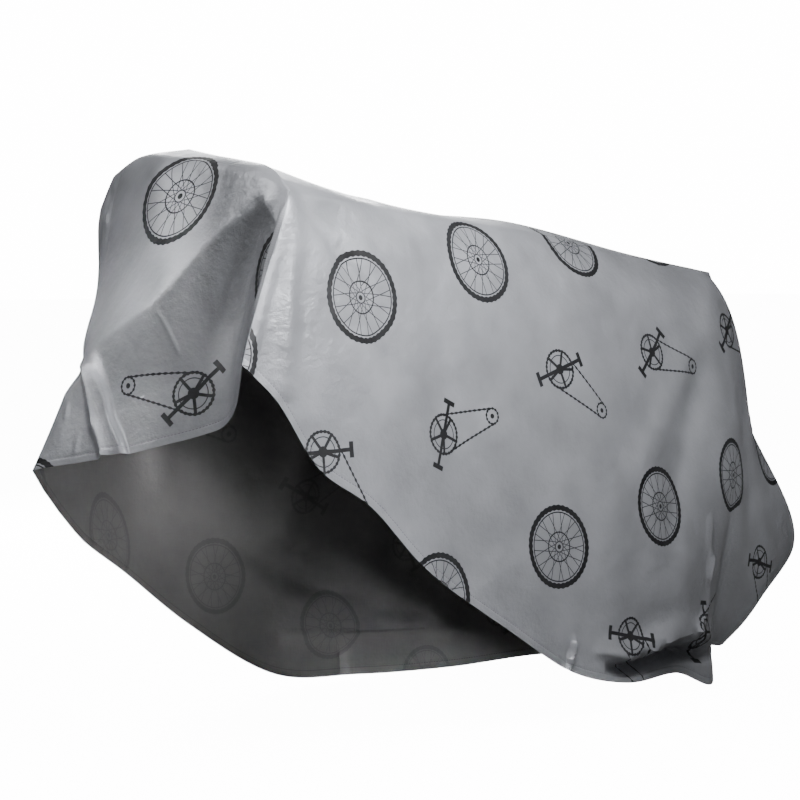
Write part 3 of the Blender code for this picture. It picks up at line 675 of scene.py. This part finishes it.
def weld_points(seam, inward, facing, level, width):
    """The strip of the front weld: a flat bar's profile carried down the seam, as rows by corners by xyz.

    Across the strip the way is cos(lean) of the way over the front film and sin(lean) of its normal. The
    bar's two long faces are half a thickness to either side, and its width grows from nothing at the
    shoulder with a smooth step.
    """
    down = unit(np.gradient(seam, axis=0))
    over = unit(inward - (inward * down).sum(1, keepdims=True) * down)
    out = facing - (facing * down).sum(1, keepdims=True) * down
    out = unit(out - (out * over).sum(1, keepdims=True) * over)
    across = math.cos(WELD_LEAN) * over + math.sin(WELD_LEAN) * out
    lift = math.cos(WELD_LEAN) * out - math.sin(WELD_LEAN) * over
    rise = np.clip((level - WELD_LEVEL) / WELD_RISE, 0, 1)
    grown = (width * rise * rise * (3 - 2 * rise))[:, None, None]
    shares, sides = np.array(WELD_PROFILE).T[:, :, None]
    sides = sides * WELD_THICKNESS / 2
    return seam[:, None] + across[:, None] * (shares * grown - WELD_ROOT) + lift[:, None] * sides


def new_mesh(name, points, faces):
    """A mesh that is shaded smooth, with an edge where faces meet sharply."""
    mesh = bpy.data.meshes.new(name)
    mesh.from_pydata(points.tolist(), [], faces)
    mesh.shade_smooth()
    mesh.set_sharp_from_angle(angle=SHARP_ANGLE)
    return mesh


def add_places(mesh, name, places):
    """Adds a UV layer with a place for every corner."""
    layer = mesh.uv_layers.new(name=name)
    layer.data.foreach_set("uv", places.astype(np.float32).ravel())


def film_mesh(columns, outer, inner, level, hem_gap):
    """The film: its outer face, the inner face turned over, and quads that join the two along the hem.

    One UV layer has the corners' places on the flat pattern, and the other how far they are along the hem
    and from its edge. A corner is read as its own quad's, so that no quad is smeared across a cut.
    """
    start = ridge_index(columns)
    below = np.arange(hem_gap[:, 1:].size).reshape(len(columns), -1) + start.max() + 1
    index = np.concatenate([start[:, None], below], axis=1)
    count = index.max() + 1
    points = np.zeros((2 * count, 3))
    points[index] = outer
    points[index + count] = inner
    outside, corners = film_triangles(index, points)
    edge, following = index[:, -1], np.roll(index[:, -1], -1)
    hem = np.stack([edge, edge + count, following + count, following], axis=-1)
    triangles = np.concatenate([outside, outside[:, ::-1] + count])
    mesh = new_mesh("film_sheet", points, triangles.tolist() + hem.tolist())
    slots = np.zeros(len(mesh.polygons), np.int32)
    slots[len(outside) : 2 * len(outside)] = 1
    mesh.polygons.foreach_set("material_index", slots)

    pattern = flat_pattern()
    next_columns = np.append(columns[1:], 3.0)
    level_next = np.roll(level, -1, axis=0)
    flat_here = read_grid(*pattern, columns[:, None] + 0 * level, level)
    flat_next = read_grid(*pattern, next_columns[:, None] + 0 * level, level_next, "left")
    hem_run = run_along(np.concatenate([outer[:, -1], outer[:1, -1]]))
    hem_here = np.stack([hem_run[:-1, None] + 0 * hem_gap, hem_gap], axis=-1)
    hem_next = np.stack([hem_run[1:, None] + 0 * hem_gap, np.roll(hem_gap, -1, axis=0)], axis=-1)
    for name, here, after in (("flat", flat_here, flat_next), ("hem", hem_here, hem_next)):
        by_corner = np.concatenate([here, after]).reshape(-1, 2)[corners]
        by_hem = np.stack([here[:, -1], here[:, -1], after[:, -1], after[:, -1]], axis=1)
        faces = (by_corner, by_corner[:, ::-1], by_hem)
        add_places(mesh, name, np.concatenate([face.reshape(-1, 2) for face in faces]))
    return mesh


def weld_mesh(bar, run):
    """The weld's strip, closed at both ends. Its UV layer has how far each corner is down the seam."""
    rows, around = bar.shape[:2]
    numbers = np.arange(rows * around).reshape(rows, around)
    after = np.roll(numbers, -1, axis=1)
    sides = np.stack([numbers[:-1], after[:-1], after[1:], numbers[1:]], axis=-1).reshape(-1, 4)
    ends = numbers[0, ::-1], numbers[-1]
    mesh = new_mesh("front_weld", bar.reshape(-1, 3), sides.tolist() + [end.tolist() for end in ends])
    corner = np.concatenate([sides.ravel(), *ends])
    add_places(mesh, "strip", np.stack([run[corner // around], corner % around], axis=-1))
    return mesh


class COVER_PG_sizes(bpy.types.PropertyGroup):
    """Sizes of the cover that a user would change."""

    film: bpy.props.FloatProperty(
        name="Film thickness", description="Thickness of the film",
        default=0.0012, min=0.0001, unit="LENGTH",
    )
    hem_width: bpy.props.FloatProperty(
        name="Hem width", description="Width of the turned hem",
        default=0.016, min=0.005, unit="LENGTH",
    )
    weld_width: bpy.props.FloatProperty(
        name="Weld width", description="Width of the weld up the front",
        default=0.010, min=0.002, unit="LENGTH",
    )
    stitch: bpy.props.FloatProperty(
        name="Stitch length", description="Pitch of the marks along the hem",
        default=0.007, min=0.002, unit="LENGTH",
    )


def linear(code):
    """A hex sRGB colour as linear RGBA: c / 12.92 below 0.04045, ((c + 0.055) / 1.055) ^ 2.4 above."""
    parts = [int(code[i : i + 2], 16) / 255 for i in (0, 2, 4)]
    return tuple(c / 12.92 if c <= 0.04045 else ((c + 0.055) / 1.055) ** 2.4 for c in parts) + (1.0,)


# ---- the finishes ----

NOISE_SPAN = {"From Min": 0.3, "From Max": 0.7}  # nearly all of a noise lies in this span
CLOUD = 0.110  # width of the clouds of tone and gloss
CLOUD_TONE = {"To Min": 0.88, "To Max": 1.12}
SPECK = 0.0011  # the flakes of pigment, drawn coarse enough to show
SPECK_TONE = {"To Min": 0.96, "To Max": 1.04}
CRINKLE = 0.050  # width of the crinkles, which have finer ones on them
CRINKLE_RELIEF = {"Strength": 0.6, "Distance": 0.006}
GRAIN = 0.0024  # the calender's grain
GRAIN_RELIEF = {"Strength": 0.12, "Distance": 0.0005}
PIGMENT = 0.35  # share of metal in the film's look
FRONT = (1.0, 0.44)  # how much of the ink shows on the printed face, and how rough the face is
BACK = (0.2, 0.6)  # and the same for the back, where the print only shows through
GLOSSIER, DULLER = 0.08, 0.10  # the clouds take this much off the roughness and put this much on
INK_MATT = 0.15  # ink is this much rougher than the film
INK_WORN = 0.92  # share of the ink that is left where it is thinnest
WELD_RIB = 0.0024  # pitch of the welding bar's ribs
WELD_RELIEF = {"Strength": 0.3, "Distance": 0.0005}
WELD_ROUGHNESS = 0.34
MARK_SHARE = 0.62  # a mark of the hem takes this share of its pitch
MARK_HALF = 0.0008  # half its width
MARK_DEPTH = 0.45  # and how much darker than the film it is
HEM_STEPS = (
    # result, operation, terms, from the run along the hem and the gap to its edge
    ("mark", "MULTIPLY", "run", "marks to the metre"),
    ("mark", "FRACT", "mark"),
    ("mark", "LESS_THAN", "mark", MARK_SHARE),
    *band("line", "gap", "hem width", MARK_HALF),
    ("line", "LESS_THAN", "line", 0.0),
    ("mark", "MULTIPLY", "mark", "line"),
    ("mark", "MULTIPLY", "mark", MARK_DEPTH),
)


class COVER_PG_colours(bpy.types.PropertyGroup):
    """Colours of the cover that a user would change."""

    film: bpy.props.FloatVectorProperty(
        name="Film", description="Outside of the film", default=linear("A3A5AB"), size=4, subtype="COLOR"
    )
    # the inside's grey is darker than the outside's: partly the film's own back, partly painted shade for
    # the hollow under the cover
    inside: bpy.props.FloatVectorProperty(
        name="Inside", description="Inside of the film", default=linear("919091"), size=4, subtype="COLOR"
    )
    ink: bpy.props.FloatVectorProperty(
        name="Ink", description="Ink of the line print", default=linear("0F0F12"), size=4, subtype="COLOR"
    )


def feed(node, feeds):
    """Feeds a node's inputs: sockets are linked and other values are set."""
    for name, value in feeds.items():
        if isinstance(value, bpy.types.NodeSocket):
            node.id_data.links.new(value, node.inputs[name])
        else:
            node.inputs[name].default_value = value


def add(tree, kind, feeds=None, output=0, **settings):
    """Adds a node, sets its properties and feeds it. Gives the output that is asked for."""
    node = tree.nodes.new("ShaderNode" + kind)
    for name, value in settings.items():
        setattr(node, name, value)
    feed(node, feeds or {})
    return node.outputs[output]


def add_uv(tree, name):
    """The two parts of the place in a UV layer."""
    place = add(tree, "UVMap", uv_map=name)
    return add(tree, "SeparateXYZ", {0: place}).node.outputs[:2]


def work_out(tree, known, steps):
    """Adds a Math node for each step: a term is a number or a name in `known`, which takes the result."""
    for name, operation, *terms in steps:
        feeds = {slot: known[term] if isinstance(term, str) else term for slot, term in enumerate(terms)}
        known[name] = add(tree, "Math", feeds, operation=operation)


def new_material(name):
    """A new material, its node tree and its shader."""
    material = bpy.data.materials.new(name)
    material.use_nodes = True
    return material, material.node_tree, material.node_tree.nodes["Principled BSDF"]


def film_finish(name, sizes, colour, ink, ink_share, roughness):
    """PEVA film with silver pigment, calendered.

    Satin, with a broad soft sheen from the flakes of pigment, a tone that clouds a little, crinkles with
    finer ones on them, and a pressed line of marks along the hem. The print is a thin matt ink.
    """
    material, tree, shader = new_material(name)
    place = add(tree, "TexCoord", output="Object")
    cloud = add(tree, "TexNoise", {"Vector": place, "Scale": 1 / CLOUD, "Detail": 4.0, "Roughness": 0.55})
    cloud = {"Value": cloud, **NOISE_SPAN}
    tone = add(tree, "MapRange", {**cloud, **CLOUD_TONE})
    speck = add(tree, "TexNoise", {"Vector": place, "Scale": 1 / SPECK, "Detail": 2.0})
    speck = add(tree, "MapRange", {"Value": speck, **NOISE_SPAN, **SPECK_TONE})
    shade = add(tree, "Math", {0: tone, 1: speck}, operation="MULTIPLY")
    base = add(tree, "Mix", {0: 1.0, 6: colour, 7: shade}, 2, data_type="RGBA", blend_type="MULTIPLY")

    u, v = add_uv(tree, "flat")
    known = {"u": u, "v": v}
    work_out(tree, known, PRINT_STEPS)
    worn = add(tree, "MapRange", {**cloud, "To Min": ink_share * INK_WORN, "To Max": ink_share})
    cover = add(tree, "Math", {0: known["ink"], 1: worn}, operation="MULTIPLY")
    printed = add(tree, "Mix", {0: cover, 6: base, 7: ink}, 2, data_type="RGBA")
    run, gap = add_uv(tree, "hem")
    known = {"run": run, "gap": gap, "marks to the metre": 1 / sizes.stitch, "hem width": sizes.hem_width}
    work_out(tree, known, HEM_STEPS)
    marked = add(tree, "Mix", {0: known["mark"], 6: printed, 7: ink}, 2, data_type="RGBA")

    crinkle = add(tree, "TexNoise", {"Vector": place, "Scale": 1 / CRINKLE, "Detail": 5.0, "Roughness": 0.6})
    relief = add(tree, "Bump", {"Height": crinkle, **CRINKLE_RELIEF})
    grain = add(tree, "TexNoise", {"Vector": place, "Scale": 1 / GRAIN, "Detail": 2.0})
    relief = add(tree, "Bump", {"Height": grain, **GRAIN_RELIEF, "Normal": relief})
    gloss = add(tree, "MapRange", {**cloud, "To Min": roughness - GLOSSIER, "To Max": roughness + DULLER})
    matt = add(tree, "Math", {0: cover, 1: INK_MATT, 2: gloss}, operation="MULTIPLY_ADD")
    feed(shader, {"Base Color": marked, "Normal": relief, "Roughness": matt, "Metallic": PIGMENT})
    return material


def weld_finish(colour):
    """The same film, heat welded in two layers: flatter, a little glossier, ribbed by the welding bar."""
    material, tree, shader = new_material("silver PEVA film, heat welded")
    strip = add(tree, "UVMap", uv_map="strip")
    rib = add(tree, "TexWave", {"Vector": strip, "Scale": 1 / WELD_RIB / math.tau}, bands_direction="X")
    relief = add(tree, "Bump", {"Height": rib, **WELD_RELIEF})
    look = {"Base Color": colour, "Roughness": WELD_ROUGHNESS, "Metallic": PIGMENT, "Normal": relief}
    feed(shader, look)
    return material


def new_piece(name, mesh):
    """Makes a piece of the mesh, which rides on the cover's body."""
    piece = new_object(name, mesh)
    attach(piece, BODY)
    return piece


class COVER_OT_film(bpy.types.Operator):
    """Makes the draped film and the weld up its front"""

    bl_idname = "cover.film"
    bl_label = "Draped film"

    def execute(self, context):
        sizes, colours = context.scene.cover_sizes, context.scene.cover_colours
        columns = column_places()
        outer, inner, level, hem_gap = film_points(columns, sizes)
        film = film_mesh(columns, outer, inner, level, hem_gap)
        ink = colours.ink[:]
        # the back's darker grey is partly painted shade for the hollow under the cover
        faces = (("printed", colours.film, FRONT), ("unprinted back", colours.inside, BACK))
        for face, colour, look in faces:
            film.materials.append(film_finish("silver PEVA film, " + face, sizes, colour[:], ink, *look))
        sheet = new_piece("film_sheet", film)
        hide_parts(SHEET_NODE)

        welded = slice(int(np.argmax(level[0] > WELD_LEVEL)), None)
        seam = outer[0, welded]
        over, facing = outer[WELD_OVER, welded] - seam, normals(outer)[WELD_FACING, welded]
        bar = weld_points(seam, over, facing, level[0, welded], sizes.weld_width)
        strip = weld_mesh(bar, run_along(seam))
        strip.materials.append(weld_finish(colours.film[:]))
        weld = new_piece("front_weld", strip)
        return {"FINISHED"}


class COVER_OT_stage(bpy.types.Operator):
    """Makes the floor, the lights and the camera"""

    bl_idname = "cover.stage"
    bl_label = "Studio stage"

    def execute(self, context):
        scene = context.scene
        floor = bpy.data.meshes.new("studio floor")
        s = FLOOR_REACH
        floor.from_pydata([(-s, -s, 0), (s, -s, 0), (s, s, 0), (-s, s, 0)], [], [(0, 1, 2, 3)])
        material, tree, paint = new_material("pale studio floor")
        feed(paint, {"Roughness": FLOOR_ROUGHNESS, "Base Color": linear("F4F4F4")})
        feed(paint, {"Emission Color": WHITE, "Emission Strength": FLOOR_GLOW})
        dull = add(tree, "BsdfDiffuse", {"Color": FLOOR_BOUNCE})
        seen = add(tree, "LightPath", output="Is Camera Ray")
        both = add(tree, "MixShader", {0: seen, 1: dull, 2: paint.outputs[0]})
        feed(tree.nodes["Material Output"], {"Surface": both})
        floor.materials.append(material)
        ground = new_object("studio_floor", floor)

        world = bpy.data.worlds.new("studio")
        world.use_nodes = True
        tree = world.node_tree
        way = add(tree, "TexCoord", output="Generated")
        facing = add(tree, "VectorMath", {0: way, 1: FILL_WAY}, "Value", operation="DOT_PRODUCT")
        fill = add(tree, "MapRange", {"Value": facing, "From Min": -1.0, "From Max": 1.0, **FILL})
        seen = add(tree, "LightPath", output="Is Camera Ray")
        light = add(tree, "Mix", {0: seen, 2: fill, 3: BACKDROP}, data_type="FLOAT")
        feed(tree.nodes["Background"], {"Color": WHITE, "Strength": light})
        scene.world = world

        for name, place, target, size, spread, power in LAMPS:
            light = bpy.data.lights.new(name, "AREA")
            light.size = size
            light.spread = math.radians(spread)
            light.energy = power
            lamp = new_object(name, light)
            lamp.location = place
            lamp.rotation_euler = (Vector(target) - Vector(place)).to_track_quat("-Z", "Y").to_euler()
        lens = bpy.data.cameras.new("camera")
        lens.lens = LENS
        lens.sensor_width = SENSOR
        camera = new_object("camera", lens)
        camera.location = CAMERA_PLACE
        camera.rotation_euler = (math.radians(90 - CAMERA_DOWN), 0, math.radians(CAMERA_TURN))
        scene.camera = camera
        return {"FINISHED"}


class COVER_PT_panel(bpy.types.Panel):
    """Lists the cover's sizes, colours and makers"""

    bl_idname = "COVER_PT_panel"
    bl_label = "Bicycle cover"
    bl_space_type = "VIEW_3D"
    bl_region_type = "UI"
    bl_category = "Cover"

    def draw(self, context):
        for group in (context.scene.cover_sizes, context.scene.cover_colours):
            for name in group.bl_rna.properties.keys():
                if name not in ("rna_type", "name"):
                    self.layout.prop(group, name)
        self.layout.operator("cover.film")
        self.layout.operator("cover.stage")


CLASSES = (COVER_PG_sizes, COVER_PG_colours, COVER_OT_film, COVER_OT_stage, COVER_PT_panel)


def register():
    for made in CLASSES:
        bpy.utils.register_class(made)
    bpy.types.Scene.cover_sizes = bpy.props.PointerProperty(type=COVER_PG_sizes)
    bpy.types.Scene.cover_colours = bpy.props.PointerProperty(type=COVER_PG_colours)


def unregister():
    del bpy.types.Scene.cover_colours
    del bpy.types.Scene.cover_sizes
    for made in reversed(CLASSES):
        bpy.utils.unregister_class(made)


def main():
    register()
    bpy.ops.cover.film()
    bpy.ops.cover.stage()


if __name__ == "__main__":
    main()
